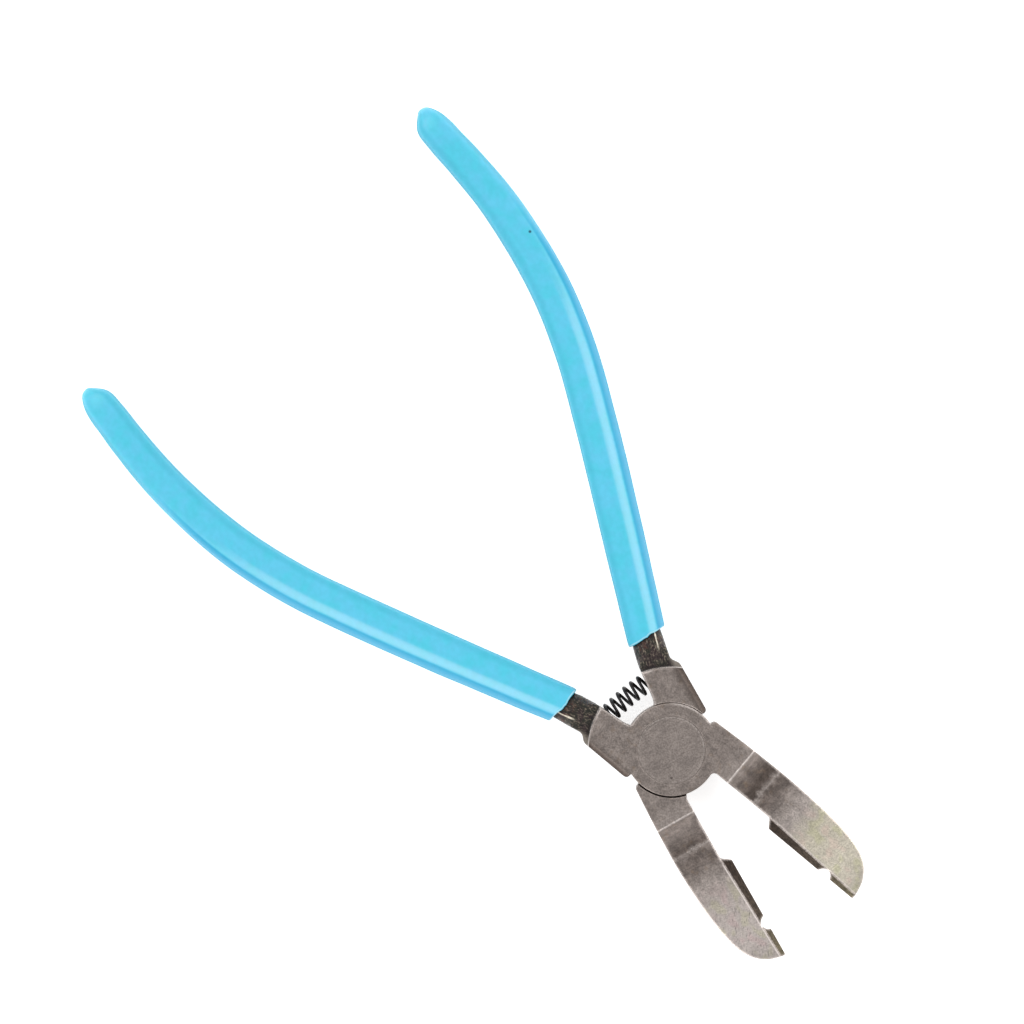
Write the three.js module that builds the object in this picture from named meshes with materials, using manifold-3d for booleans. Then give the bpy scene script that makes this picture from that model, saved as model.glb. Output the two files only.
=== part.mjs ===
// Spring-return lap-joint pliers with notched, bevelled jaws and dipped grips.
// Millimetres, +Z up. The origin is on the pivot axis at the underside of the joint.
// +X runs towards the noses of the jaws. The pliers are modelled open, at rest.
// Each half is drawn in the closed position with its jaw on the +Y side and its handle on the
// -Y side. The lower half is the mirror image of that, and both are then turned open.
import * as THREE from 'three';
import { mergeVertices } from 'three/addons/utils/BufferGeometryUtils.js';
import Module from 'manifold-3d';

const wasm = await Module();
wasm.setup();

// ---- lap joint ----
const OPEN_HALF_ANGLE = THREE.MathUtils.degToRad(10.3); // each half, from closed to rest
const JOINT_THICKNESS = 10;
const MID_Z = JOINT_THICKNESS / 2;
const BOSS_RADIUS = 9.6;
const RUNNING_GAP = 0.3; // around the boss and the rivet
const LAP_GAP = 0.1; // between the two discs of the joint
const RIVET_HEAD_RADIUS = 6.75;
const RIVET_SHANK_RADIUS = 4;
const RIVET_CONE_DEPTH = 2.2;
const RIVET_LAND = 0.3; // the straight rim of the rivet's head

// ---- shoulders ----
const HEAD_BACK_RADIUS = 17.4; // the ground head ends on this arc about the pivot
const HEAD_BACK_CHAMFER = 0.4;
const TANG_STEP = 0.9; // the forged tang lies this far below the ground faces
const SHOULDER_OUTER = 10.5;
const SHOULDER_FRONT = 3.3; // the outer front corner of the shoulder, behind the pivot

// ---- jaws ----
const JAW_LENGTH = 49.3; // from the pivot to the tip of the nose, on the working edge
const NECK_INNER = 2.25; // half width of the slot between the closed necks
const EDGE_Y = 0.2; // the closed working edges stand this far from the centre plane
const HEEL_X = 25; // the bevelled blade starts here
const HEEL_RUN = 1.4;
const BEVEL_SLOPE = 0.43; // sideways run of the bevel for each millimetre of height
const CREST_X = 13.5; // the flat top of the jaw ends here
const RIDGE_X = 20.3; // the ridge between the two hollows of the ramp
const RIDGE_Z = 5.6;
const BLADE_X = 25.5; // the ramp has run out here
const BLADE_ROOT_Z = 4.6;
const BLADE_NOSE_Z = 2.4;
const FULLER_NOSE = 0.4; // hand grinding left the upper half's nose this much fuller
const SLIMMER_NOSE = -0.5; // and the lower half's this much slimmer
const NOTCH_X = 41.4;
const NOTCH_RADIUS = 1.45;

// ---- return spring and its seats ----
const SEAT_X = -14.9; // in the closed position
const SEAT_FACE_Y = -2.2;
const SEAT_RADIUS = 2.6;
const SEAT_DEPTH = 2.5;
const COIL_RADIUS = 1.9; // to the middle of the wire
const WIRE_RADIUS = 0.29;
const COIL_TURNS = 7.5;
const SPRING_BULGE = 0.6; // the coil's axis bows away from the pivot by this much
const SPRING_END_GAP = 0.35; // from the wire to the bottom of its seat

// ---- tangs and grips ----
const TANG_START = 0.02; // stations are shares of the handle line's length
const TANG_HALF_WIDTH = 3.35;
const TANG_HALF_HEIGHT = JOINT_THICKNESS / 2 - TANG_STEP;
const TANG_END = 0.075; // it narrows from here
const CORE_START = 0.1; // to the core of the grip here
const CORE_END = 0.94;
const CORE_END_GAP = 0.004; // from the core's end to the bottom of the grip's bore
const CORE_HALF_WIDTH = 2.6;
const CORE_HALF_HEIGHT = 3.1;
const TANG_CORNER = 0.62; // where the corners of the tang's section are cut, as a share
const GRIP_FRONT_X = -23; // mouth of the grip, closed position
const GRIP_GAP = 0.3; // between the grip's bore and the core
const GRIP_HALF_HEIGHT = 4.7;
const GRIP_FULLEST = 0.4; // the station where the grip is widest
const GRIP_FULL_HALF_WIDTH = 4.5;
const GRIP_WAIST = 2.8; // how fast it narrows on either side of that station
const GRIP_END_CAP = 0.055; // length of its rounded end, as a share
const GRIP_END_POINT = 1.35; // 1 would be a half ellipse, and more is more pointed

const OUTSIDE = 60; // beyond every part of the head
const SKIN = 1; // how far a cutter stands out of the face that it cuts
const CURVE_SEGMENTS = 8; // straight pieces in each curve of an outline

// ---- materials ----
const forgedSteel = new THREE.MeshStandardMaterial({ color: 0x8c847e, roughness: 0.42, metalness: 0.9 });
const rivetSteel = new THREE.MeshStandardMaterial({ color: 0x8a827b, roughness: 0.4, metalness: 0.9 });
const springSteel = new THREE.MeshStandardMaterial({ color: 0x141315, roughness: 0.45, metalness: 0.6 });
const bluePvc = new THREE.MeshStandardMaterial({ color: 0x5fc8ec, roughness: 0.35, metalness: 0 });

// ---- solids and meshes ----
function toSolid(geometry) {
  const bare = geometry.index ? geometry.toNonIndexed() : geometry.clone();
  bare.deleteAttribute('normal');
  bare.deleteAttribute('uv');
  const merged = mergeVertices(bare, 1e-4);
  const corners = merged.index.array;
  const kept = [];
  for (let i = 0; i < corners.length; i += 3) {
    const [a, b, c] = corners.slice(i, i + 3);
    if (a !== b && b !== c && c !== a) kept.push(a, b, c);
  }
  return new wasm.Manifold(new wasm.Mesh({
    numProp: 3,
    vertProperties: new Float32Array(merged.attributes.position.array),
    triVerts: new Uint32Array(kept),
  }));
}

// With mirror, the solid is reflected in the XZ plane and its triangles are turned to face out.
function toMesh(name, solid, material, mirror = false) {
  const { vertProperties, triVerts } = solid.getMesh();
  const geometry = new THREE.BufferGeometry();
  geometry.setAttribute('position', new THREE.BufferAttribute(new Float32Array(vertProperties), 3));
  geometry.setIndex(new THREE.BufferAttribute(new Uint32Array(triVerts), 1));
  if (mirror) {
    geometry.scale(1, -1, 1);
    geometry.index.array.reverse();
  }
  const mesh = new THREE.Mesh(geometry, material);
  mesh.name = name;
  return mesh;
}

// An outline in the XY plane, raised from z0 to z1.
function plate(shape, z0, z1) {
  const geometry = new THREE.ExtrudeGeometry(shape, {
    depth: z1 - z0,
    bevelEnabled: false,
    curveSegments: CURVE_SEGMENTS,
  });
  return toSolid(geometry.translate(0, 0, z0));
}

// A profile in the XZ plane, run across the jaws.
function acrossY(shape) {
  const geometry = new THREE.ExtrudeGeometry(shape, {
    depth: OUTSIDE,
    bevelEnabled: false,
    curveSegments: CURVE_SEGMENTS,
  });
  return toSolid(geometry.rotateX(Math.PI / 2).translate(0, OUTSIDE / 2, 0));
}

// A profile in the YZ plane, run along the jaws from x0.
function alongX(shape, x0) {
  const geometry = new THREE.ExtrudeGeometry(shape, { depth: OUTSIDE, bevelEnabled: false });
  const turn = new THREE.Matrix4().makeBasis(
    new THREE.Vector3(0, 1, 0),
    new THREE.Vector3(0, 0, 1),
    new THREE.Vector3(1, 0, 0),
  );
  return toSolid(geometry.applyMatrix4(turn).translate(x0, 0, 0));
}

// An upright cylinder about (x, y).
function post(radius, z0, z1, x = 0, y = 0, segments = 80) {
  const geometry = new THREE.CylinderGeometry(radius, radius, z1 - z0, segments);
  return toSolid(geometry.rotateX(Math.PI / 2).translate(x, y, (z0 + z1) / 2));
}

// A solid turned about the pivot axis, from [radius, z] points that start and end on the axis.
function turned(points) {
  const profile = points.map(([radius, z]) => new THREE.Vector2(radius, z));
  return toSolid(new THREE.LatheGeometry(profile, 80).rotateX(Math.PI / 2));
}

function box(x0, x1, halfY, z0, z1) {
  const geometry = new THREE.BoxGeometry(x1 - x0, 2 * halfY, z1 - z0);
  return toSolid(geometry.translate((x0 + x1) / 2, 0, (z0 + z1) / 2));
}

// ---- pivot rivet: flush on both faces, countersunk into both discs ----
function rivetSolid(growth, overrun) {
  const head = RIVET_HEAD_RADIUS + growth;
  const shank = RIVET_SHANK_RADIUS + growth;
  const points = [
    [0, -overrun],
    [head, -overrun],
    [head, RIVET_LAND],
    [shank, RIVET_CONE_DEPTH],
    [shank, JOINT_THICKNESS - RIVET_CONE_DEPTH],
    [head, JOINT_THICKNESS - RIVET_LAND],
    [head, JOINT_THICKNESS + overrun],
    [0, JOINT_THICKNESS + overrun],
  ];
  return turned(points);
}

// ---- jaw ----
// The blade's outer edge swings out by nose, growing from the heel to the nose.
function jawOutline(nose) {
  const fuller = (x) => (nose * Math.max(0, x - HEEL_X)) / (JAW_LENGTH - HEEL_X);
  const outline = new THREE.Shape();
  outline.moveTo(2, 3);
  outline.lineTo(2.75, 9.15);
  outline.lineTo(3, 9.85);
  outline.quadraticCurveTo(3.15, 10.4, 3.8, 10.45);
  outline.splineThru([
    [12, 10.85], [22, 11.05], [31, 10.7], [38, 9.95], [43, 8.8], [46.2, 7], [48.15, 4.5],
    [48.9, 2.3],
  ].map(([x, y]) => new THREE.Vector2(x, y + fuller(x))));
  outline.lineTo(JAW_LENGTH - 0.05, 0.55);
  outline.quadraticCurveTo(JAW_LENGTH, EDGE_Y, JAW_LENGTH - 0.35, EDGE_Y);
  outline.lineTo(HEEL_X + HEEL_RUN, EDGE_Y);
  outline.lineTo(HEEL_X, NECK_INNER);
  outline.lineTo(10.7, NECK_INNER);
  outline.quadraticCurveTo(9.9, NECK_INNER, 9.4, 1.3);
  outline.lineTo(5, 0);
  return outline;
}

// Everything above the jaw's top: flat to the crest, two hollows, then the straight blade.
function aboveJaw() {
  const fall = (BLADE_ROOT_Z - BLADE_NOSE_Z) / (JAW_LENGTH - BLADE_X);
  const profile = new THREE.Shape();
  profile.moveTo(CREST_X, JOINT_THICKNESS);
  profile.quadraticCurveTo(17, 6, RIDGE_X, RIDGE_Z);
  profile.quadraticCurveTo(22, BLADE_ROOT_Z + 0.1, BLADE_X, BLADE_ROOT_Z);
  profile.lineTo(OUTSIDE, BLADE_ROOT_Z - fall * (OUTSIDE - BLADE_X));
  profile.lineTo(OUTSIDE, JOINT_THICKNESS + SKIN);
  profile.lineTo(CREST_X, JOINT_THICKNESS + SKIN);
  return acrossY(profile);
}

// Everything on the inner side of the bevel, whose working edge is at the underside.
function besideBevel() {
  const high = JOINT_THICKNESS + SKIN;
  const profile = new THREE.Shape();
  profile.moveTo(EDGE_Y - BEVEL_SLOPE * SKIN, -SKIN);
  profile.lineTo(EDGE_Y + BEVEL_SLOPE * high, high);
  profile.lineTo(-SKIN, high);
  profile.lineTo(-SKIN, -SKIN);
  return alongX(profile, HEEL_X);
}

function jawSolid(nose) {
  const notch = post(NOTCH_RADIUS, -SKIN, JOINT_THICKNESS, NOTCH_X, EDGE_Y, 32);
  return plate(jawOutline(nose), 0, JOINT_THICKNESS)
    .subtract(aboveJaw())
    .subtract(besideBevel())
    .subtract(notch);
}

// ---- shoulder ----
function shoulderOutline() {
  const outline = new THREE.Shape();
  outline.moveTo(-2, -3);
  outline.lineTo(-9.3, -1);
  outline.quadraticCurveTo(-9.8, -1.9, -12.5, -2.1);
  outline.lineTo(-17, -2.5);
  outline.lineTo(-19.5, -3.2);
  outline.lineTo(-19.5, -9.8);
  outline.lineTo(-17, -9.3);
  outline.quadraticCurveTo(-16.2, -9.3, -15.4, -10.1);
  outline.quadraticCurveTo(-15, -SHOULDER_OUTER, -14.2, -SHOULDER_OUTER);
  outline.lineTo(-SHOULDER_FRONT - 1, -SHOULDER_OUTER);
  outline.quadraticCurveTo(-SHOULDER_FRONT, -SHOULDER_OUTER, -SHOULDER_FRONT, -9.6);
  outline.lineTo(-SHOULDER_FRONT, -8.9);
  return outline;
}

function shoulderSolid() {
  const inner = HEAD_BACK_RADIUS - HEAD_BACK_CHAMFER;
  const headDisc = turned([
    [0, 0],
    [inner, 0],
    [HEAD_BACK_RADIUS, HEAD_BACK_CHAMFER],
    [HEAD_BACK_RADIUS, JOINT_THICKNESS - HEAD_BACK_CHAMFER],
    [inner, JOINT_THICKNESS],
    [0, JOINT_THICKNESS],
  ]);
  const ground = plate(shoulderOutline(), 0, JOINT_THICKNESS).intersect(headDisc);
  const forged = plate(shoulderOutline(), TANG_STEP, JOINT_THICKNESS - TANG_STEP);
  return ground.add(forged);
}

// A blind round seat for one end of the spring, in the shoulder's inner face.
function seatSolid() {
  const depth = SEAT_DEPTH + SKIN;
  const geometry = new THREE.CylinderGeometry(SEAT_RADIUS, SEAT_RADIUS, depth, 32);
  return toSolid(geometry.translate(SEAT_X, SEAT_FACE_Y - SEAT_DEPTH + depth / 2, MID_Z));
}

// ---- handle ----
const handleLine = new THREE.CatmullRomCurve3([
  [-13, -5.3], [-20, -6.45], [-32, -9.9], [-50, -15.2], [-68, -20.3], [-82, -23.8],
  [-95, -25.6], [-106, -25.8], [-118, -24.9], [-128, -23.1], [-135.5, -21.5], [-142, -21.2],
].map(([x, y]) => new THREE.Vector3(x, y, MID_Z)), false, 'centripetal');

// Bends a straight body about the Z axis along the handle. Its z is the station, and its x and y
// of 1 reach the half width and the half height.
function alongHandle(geometry, halfWidth, halfHeight) {
  const place = geometry.attributes.position;
  for (let i = 0; i < place.count; i += 1) {
    const station = THREE.MathUtils.clamp(place.getZ(i), 0, 1);
    const at = handleLine.getPointAt(station);
    const along = handleLine.getTangentAt(station);
    const aside = place.getX(i) * halfWidth(station);
    const up = place.getY(i) * halfHeight(station);
    place.setXYZ(i, at.x - along.y * aside, at.y + along.x * aside, MID_Z + up);
  }
  return toSolid(geometry);
}

// A straight bar with chamfered corners, 2 across, between two stations.
function straightBar(from, to, steps) {
  const cut = TANG_CORNER;
  const section = new THREE.Shape([
    [1, -cut], [1, cut], [cut, 1], [-cut, 1], [-1, cut], [-1, -cut], [-cut, -1], [cut, -1],
  ].map(([x, y]) => new THREE.Vector2(x, y)));
  const geometry = new THREE.ExtrudeGeometry(section, { depth: to - from, steps, bevelEnabled: false });
  return geometry.translate(0, 0, from);
}

// From the tang's size behind the head to the core's size inside the grip.
function taper(station, tangSize, coreSize) {
  return THREE.MathUtils.mapLinear(
    THREE.MathUtils.clamp(station, TANG_END, CORE_START),
    TANG_END,
    CORE_START,
    tangSize,
    coreSize,
  );
}

function tangSolid() {
  return alongHandle(
    straightBar(TANG_START, CORE_END, 44),
    (station) => taper(station, TANG_HALF_WIDTH, CORE_HALF_WIDTH),
    (station) => taper(station, TANG_HALF_HEIGHT, CORE_HALF_HEIGHT),
  );
}

function gripHalfWidth(station) {
  return GRIP_FULL_HALF_WIDTH - GRIP_WAIST * (station - GRIP_FULLEST) ** 2;
}

// A sleeve with an open mouth and a closed, rounded end.
function gripSolid() {
  const capSteps = 7;
  const sideSteps = 26;
  const profile = [new THREE.Vector2(0, 0)];
  for (let i = 0; i <= sideSteps; i += 1) {
    profile.push(new THREE.Vector2(1, ((1 - GRIP_END_CAP) * i) / sideSteps));
  }
  for (let i = 1; i <= capSteps; i += 1) {
    const turn = (i / capSteps) * (Math.PI / 2);
    const radius = i < capSteps ? Math.cos(turn) ** GRIP_END_POINT : 0;
    profile.push(new THREE.Vector2(radius, 1 - GRIP_END_CAP * (1 - Math.sin(turn))));
  }
  const outside = alongHandle(
    new THREE.LatheGeometry(profile, 24).rotateX(Math.PI / 2),
    gripHalfWidth,
    () => GRIP_HALF_HEIGHT,
  );
  const bore = alongHandle(
    straightBar(TANG_START, CORE_END + CORE_END_GAP, 24),
    (station) => taper(station, TANG_HALF_WIDTH, CORE_HALF_WIDTH) + GRIP_GAP,
    (station) => taper(station, TANG_HALF_HEIGHT, CORE_HALF_HEIGHT) + GRIP_GAP,
  );
  const aheadOfMouth = box(GRIP_FRONT_X, OUTSIDE, OUTSIDE, -SKIN, JOINT_THICKNESS + SKIN);
  return outside.subtract(bore).subtract(aheadOfMouth);
}

// ---- one forged half, with either the upper or the lower disc of the joint ----
function halfSolid(upper) {
  const lap = upper ? MID_Z + LAP_GAP / 2 : MID_Z - LAP_GAP / 2;
  const disc = upper ? post(BOSS_RADIUS, lap, JOINT_THICKNESS) : post(BOSS_RADIUS, 0, lap);
  const clearance = BOSS_RADIUS + RUNNING_GAP;
  const pocket = upper ? post(clearance, -SKIN, lap) : post(clearance, lap, JOINT_THICKNESS + SKIN);
  return jawSolid(upper ? FULLER_NOSE : SLIMMER_NOSE)
    .add(shoulderSolid())
    .subtract(pocket)
    .add(disc)
    .subtract(rivetSolid(RUNNING_GAP, SKIN))
    .add(tangSolid())
    .subtract(seatSolid());
}

// ---- return spring: a helix on a slightly bowed axis between the bottoms of the seats ----
class CoilCurve extends THREE.Curve {
  constructor(end) {
    super();
    const middle = new THREE.Vector3(end.x - SPRING_BULGE, 0, MID_Z);
    const far = new THREE.Vector3(end.x, -end.y, MID_Z);
    this.axis = new THREE.CatmullRomCurve3([end, middle, far]);
  }

  getPoint(t, target = new THREE.Vector3()) {
    const centre = this.axis.getPoint(t);
    const along = this.axis.getTangent(t);
    const turn = 2 * Math.PI * COIL_TURNS * t;
    const aside = COIL_RADIUS * Math.cos(turn);
    const up = COIL_RADIUS * Math.sin(turn);
    return target.set(centre.x - along.y * aside, centre.y + along.x * aside, centre.z + up);
  }
}

function springSolid() {
  const bottom = SEAT_FACE_Y - SEAT_DEPTH + SPRING_END_GAP + WIRE_RADIUS;
  const end = new THREE.Vector3(SEAT_X, bottom, MID_Z);
  end.applyAxisAngle(new THREE.Vector3(0, 0, 1), OPEN_HALF_ANGLE);
  const sides = 6;
  const section = new THREE.Shape();
  for (let i = 0; i < sides; i += 1) {
    const turn = (2 * Math.PI * i) / sides;
    const corner = [WIRE_RADIUS * Math.cos(turn), WIRE_RADIUS * Math.sin(turn)];
    if (i === 0) section.moveTo(...corner);
    else section.lineTo(...corner);
  }
  return toSolid(new THREE.ExtrudeGeometry(section, {
    extrudePath: new CoilCurve(end),
    steps: Math.round(COIL_TURNS * 14),
    bevelEnabled: false,
  }));
}

// ---- assembly ----
const pliers = new THREE.Group();
const grip = gripSolid();

const upperHalf = new THREE.Group();
upperHalf.rotation.z = OPEN_HALF_ANGLE;
upperHalf.add(toMesh('jaw_arm_upper', halfSolid(true), forgedSteel));
upperHalf.add(toMesh('grip_upper_arm', grip, bluePvc));
upperHalf.add(toMesh('pivot_rivet', rivetSolid(0, 0), rivetSteel));

const lowerHalf = new THREE.Group();
lowerHalf.rotation.z = -OPEN_HALF_ANGLE;
lowerHalf.add(toMesh('jaw_arm_lower', halfSolid(false), forgedSteel, true));
lowerHalf.add(toMesh('grip_lower_arm', grip, bluePvc, true));

pliers.add(upperHalf, lowerHalf, toMesh('return_spring', springSolid(), springSteel));

export default pliers;
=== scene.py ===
"""Looks for spring-return lap-joint pliers with dipped grips.

Each half is worked out in millimetres in its closed position, with its jaw on the +Y side and its
handle on the -Y side. open_matrix() then mirrors the lower half, turns both open and goes to metres.
Colours are given as 0 to 255 screen values, and materials work in millimetres too.
"""

import math

import bmesh
import bpy
import numpy as np
from mathutils import Matrix, Vector, noise


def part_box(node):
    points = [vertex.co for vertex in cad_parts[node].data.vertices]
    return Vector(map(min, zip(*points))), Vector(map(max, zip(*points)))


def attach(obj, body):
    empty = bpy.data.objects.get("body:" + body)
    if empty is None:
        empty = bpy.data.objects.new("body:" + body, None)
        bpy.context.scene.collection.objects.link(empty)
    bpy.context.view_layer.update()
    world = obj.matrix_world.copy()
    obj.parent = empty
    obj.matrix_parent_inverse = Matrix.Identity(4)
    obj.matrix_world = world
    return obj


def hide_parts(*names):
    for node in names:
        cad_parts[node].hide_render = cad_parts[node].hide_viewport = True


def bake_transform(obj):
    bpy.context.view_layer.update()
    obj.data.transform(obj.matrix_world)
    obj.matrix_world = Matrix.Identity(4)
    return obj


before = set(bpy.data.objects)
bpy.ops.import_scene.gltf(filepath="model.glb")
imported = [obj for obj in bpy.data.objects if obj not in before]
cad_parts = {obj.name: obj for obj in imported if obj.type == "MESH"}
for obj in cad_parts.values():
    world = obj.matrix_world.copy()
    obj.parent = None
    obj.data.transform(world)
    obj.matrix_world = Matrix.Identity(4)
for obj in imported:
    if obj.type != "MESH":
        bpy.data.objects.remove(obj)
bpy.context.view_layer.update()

MM = 0.001
OPEN_HALF_ANGLE = math.radians(10.3)
HALVES = (
    {"name": "upper", "body": "upper_half", "side": 1, "seed": 11.0},
    {"name": "lower", "body": "lower_half", "side": -1, "seed": 47.0},
)

# ---- the CAD part's own dimensions, in millimetres ----
THICKNESS = 10.0
MID_Z = THICKNESS / 2
BOSS_RADIUS = 9.6
HEAD_BACK_RADIUS = 17.4  # the ground head ends on this arc about the pivot
SHOULDER_OUTER = 10.5
CREST_X = 13.5  # the flat top of the jaw ends here
RIDGE_X = 20.3  # the ridge between the two hollows of the ramp
HEEL_X = 25.0  # the bevelled blade starts here
EDGE_Y = 0.2
BEVEL_SLOPE = 0.43  # sideways run of the bevel for each millimetre of height
RIVET_SHANK_RADIUS = 4.0
RIVET_CONE_DEPTH = 2.2
COIL_RADIUS = 1.9  # to the middle of the wire
WIRE_RADIUS = 0.29
HANDLE_LINE = (  # the middle of the handle, from the head to the tip
    (-13, -5.3), (-20, -6.45), (-32, -9.9), (-50, -15.2), (-68, -20.3), (-82, -23.8),
    (-95, -25.6), (-106, -25.8), (-118, -24.9), (-128, -23.1), (-135.5, -21.5), (-142, -21.2),
)
TANG_HALF_WIDTH = 3.35
TANG_HALF_HEIGHT = 4.1
CORE_HALF_WIDTH = 2.6
CORE_HALF_HEIGHT = 3.1
TANG_END = 0.075  # stations are shares of the handle line's length
CORE_START = 0.1
CORE_END = 0.944  # the bottom of the grip's bore
GRIP_FRONT_X = -23.0
GRIP_HALF_HEIGHT = 4.7
GRIP_FULLEST = 0.4  # the station where the grip is widest
GRIP_FULL_HALF_WIDTH = 4.5
GRIP_WAIST = 2.8  # how fast it narrows on either side of that station

# ---- finer shape that only the visual model has ----
FACE_MARGIN = 0.003  # keeps the ground faces a hair inside the CAD part's box

VOXEL = 0.16
SMOOTHING_ROUNDS = 3
TANG_ROUNDS = 40  # of smoothing on the tang, whose facets are worn round
CORE_CUT_X = -28.0  # the arm is remeshed in front of this, and kept plain inside the grip
CUT_OVERLAP = 0.1
DISC_RIM_GROWTH = 0.14  # the middle of what the disc's rim grows by all round
DISC_OFFSET = 0.11  # it grows by this much more or less, because the disc is a little off centre
LAP_GAP_TURN = math.radians(-35)  # the gap around the boss is widest on this side
SHOULDER_EASE = 1.3  # width of the shoulder's eased outer edge
SHOULDER_DROP = 0.45  # and how far it falls
WORN_BEND = 0.06  # a vertex this far out of its neighbours, in voxels, is fully on an edge, for edge wear and painted edge highlights

RIVET_HEAD_RADIUS = 7.03
RIVET_SPREAD = 0.2  # the upper head is peened into the half that it is fixed in
RIVET_SIDES = 160
RIVET_FACE_RINGS = 52
RIVET_GROOVE = (6.4, 0.14, 0.05)  # radius, width and depth
RIVET_PIT = (4.5, -3.7)  # a small pit in the rivet's upper face, in the part's frame
RIVET_PIT_RADIUS = 0.3
RIVET_PIT_DEPTH = 0.16
RIVET_GRINDING = 0.006  # depth of the grinding marks

DRAWN_WIRE_RADIUS = 0.33
SPRING_BULGE = 0.5  # the coil's axis bows away from the pivot by this much
SPRING_SHIFT = 0.15  # towards the pivot
SPRING_PHASE = math.radians(300)
SPRING_ACTIVE_TURNS = 6.6
SPRING_END_TURNS = 1.0  # nearly closed turns at each end
SPRING_END_RISE = 0.75  # length of each end's turns
SPRING_STEPS = 36  # to a turn
WIRE_SIDES = 12

GRIP_SWELL = 0.06  # the dipped skin is this much fuller than the CAD part's
BORE_GAP = 0.16  # between the grip's bore and the tang
GRIP_SPECK = (-101.6, 46.6)  # a speck of dirt on the lower half's grip, in the part's frame


# ---- helpers for shape ----
def open_matrix(side):
    """From closed millimetres to the part's frame, for the upper half (1) or the lower half (-1)."""
    mirror = Matrix.Diagonal((MM, side * MM, MM, 1.0))
    return Matrix.Rotation(side * OPEN_HALF_ANGLE, 4, "Z") @ mirror


def smoothstep(low, high, value):
    """0 at low and 1 at high, eased at both ends."""
    t = np.clip((np.asarray(value, float) - low) / (high - low), 0, 1)
    return t * t * (3 - 2 * t)


def bell(value, middle, width):
    """1 at the middle, and nearly 0 two widths away."""
    return np.exp(-(((value - middle) / width) ** 2))


def fbm(points, size, seed, octaves=3):
    """Fractal noise from about -1 to 1, with features of that size in millimetres."""
    sizes = np.broadcast_to(np.asarray(size, float), 3)
    places = points / sizes + seed
    return np.array([noise.fractal(p, 0.8, 2.1, octaves) for p in places.tolist()])


def coordinates(mesh):
    flat = np.zeros(len(mesh.vertices) * 3, np.float32)
    mesh.vertices.foreach_get("co", flat)
    return flat.reshape(-1, 3).astype(float)


def normals(mesh):
    flat = np.zeros(len(mesh.vertices) * 3, np.float32)
    mesh.vertex_normals.foreach_get("vector", flat)
    return flat.reshape(-1, 3).astype(float)


def set_coordinates(mesh, points):
    mesh.vertices.foreach_set("co", np.asarray(points, np.float32).ravel())
    mesh.update()


def neighbour_mean(mesh, values):
    """Each vertex's mean of its neighbours' values."""
    pairs = np.zeros(len(mesh.edges) * 2, np.int32)
    mesh.edges.foreach_get("vertices", pairs)
    a, b = pairs.reshape(-1, 2).T
    count = np.bincount(np.concatenate((a, b)), minlength=len(values))
    columns = []
    for column in np.asarray(values).reshape(len(values), -1).T:
        total = np.bincount(a, column[b], len(values)) + np.bincount(b, column[a], len(values))
        columns.append(total / np.maximum(count, 1))
    return np.stack(columns, 1).reshape(np.shape(values))


def store(mesh, name, values):
    attribute = mesh.attributes.new(name, "FLOAT", "POINT")
    attribute.data.foreach_set("value", np.asarray(values, np.float32))


def add_object(name, mesh):
    for polygon in mesh.polygons:
        polygon.use_smooth = True
    piece = bpy.data.objects.new(name, mesh)
    bpy.context.scene.collection.objects.link(piece)
    return piece


def chaikin(points, rounds, closed=True):
    """Rounds a polygon's corners by cutting them again and again."""
    points = np.asarray(points, float)
    for _ in range(rounds):
        after = np.roll(points, -1, 0) if closed else points[1:]
        before = points if closed else points[:-1]
        cut = np.stack((0.75 * before + 0.25 * after, 0.25 * before + 0.75 * after), 1)
        cut = cut.reshape(-1, 2)
        points = cut if closed else np.concatenate((points[:1], cut, points[-1:]))
    return points


def tube_faces(rings, around):
    """Quads between neighbouring rings of a tube, whose rings have the same number of points."""
    faces = []
    for ring in range(rings - 1):
        for i in range(around):
            a = ring * around + i
            b = ring * around + (i + 1) % around
            faces.append((a, b, b + around, a + around))
    return faces


def closed_tube(name, rings):
    """A mesh through rings of points, closed at both ends by a fan to the end ring's middle."""
    rings = np.asarray(rings, float)
    count, around, _ = rings.shape
    points = rings.reshape(-1, 3)
    faces = tube_faces(count, around)
    first, last = len(points), len(points) + 1
    points = np.concatenate((points, [rings[0].mean(0), rings[-1].mean(0)]))
    top = (count - 1) * around
    for i in range(around):
        j = (i + 1) % around
        faces.append((first, j, i))
        faces.append((last, top + i, top + j))
    mesh = bpy.data.meshes.new(name)
    mesh.from_pydata(points.tolist(), [], faces)
    mesh.validate()
    face_out(mesh)
    return mesh


def face_out(mesh):
    work = bmesh.new()
    work.from_mesh(mesh)
    bmesh.ops.recalc_face_normals(work, faces=work.faces)
    work.to_mesh(mesh)
    work.free()


# ---- forged halves ----
def cut_part(source, matrix, keep_front):
    """The arm in front of CORE_CUT_X, or the core behind it, as a closed mesh."""
    work = bmesh.new()
    work.from_mesh(source)
    work.transform(matrix)
    bmesh.ops.remove_doubles(work, verts=work.verts, dist=0.002)
    at = CORE_CUT_X + (0.0 if keep_front else CUT_OVERLAP)
    bmesh.ops.bisect_plane(
        work,
        geom=work.verts[:] + work.edges[:] + work.faces[:],
        plane_co=(at, 0, 0),
        plane_no=(1, 0, 0),
        clear_inner=keep_front,
        clear_outer=not keep_front,
    )
    rim = [edge for edge in work.edges if edge.is_boundary]
    bmesh.ops.holes_fill(work, edges=rim, sides=0)
    bmesh.ops.recalc_face_normals(work, faces=work.faces)
    mesh = bpy.data.meshes.new("part")
    work.to_mesh(mesh)
    work.free()
    return mesh


def remeshed(mesh, voxel):
    """The same solid in even small quads."""
    rough = add_object("rough", mesh)
    modifier = rough.modifiers.new("even", "REMESH")
    modifier.mode = "VOXEL"
    modifier.voxel_size = voxel
    graph = bpy.context.evaluated_depsgraph_get()
    even = bpy.data.meshes.new_from_object(rough.evaluated_get(graph))
    bpy.data.objects.remove(rough)
    return even


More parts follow.
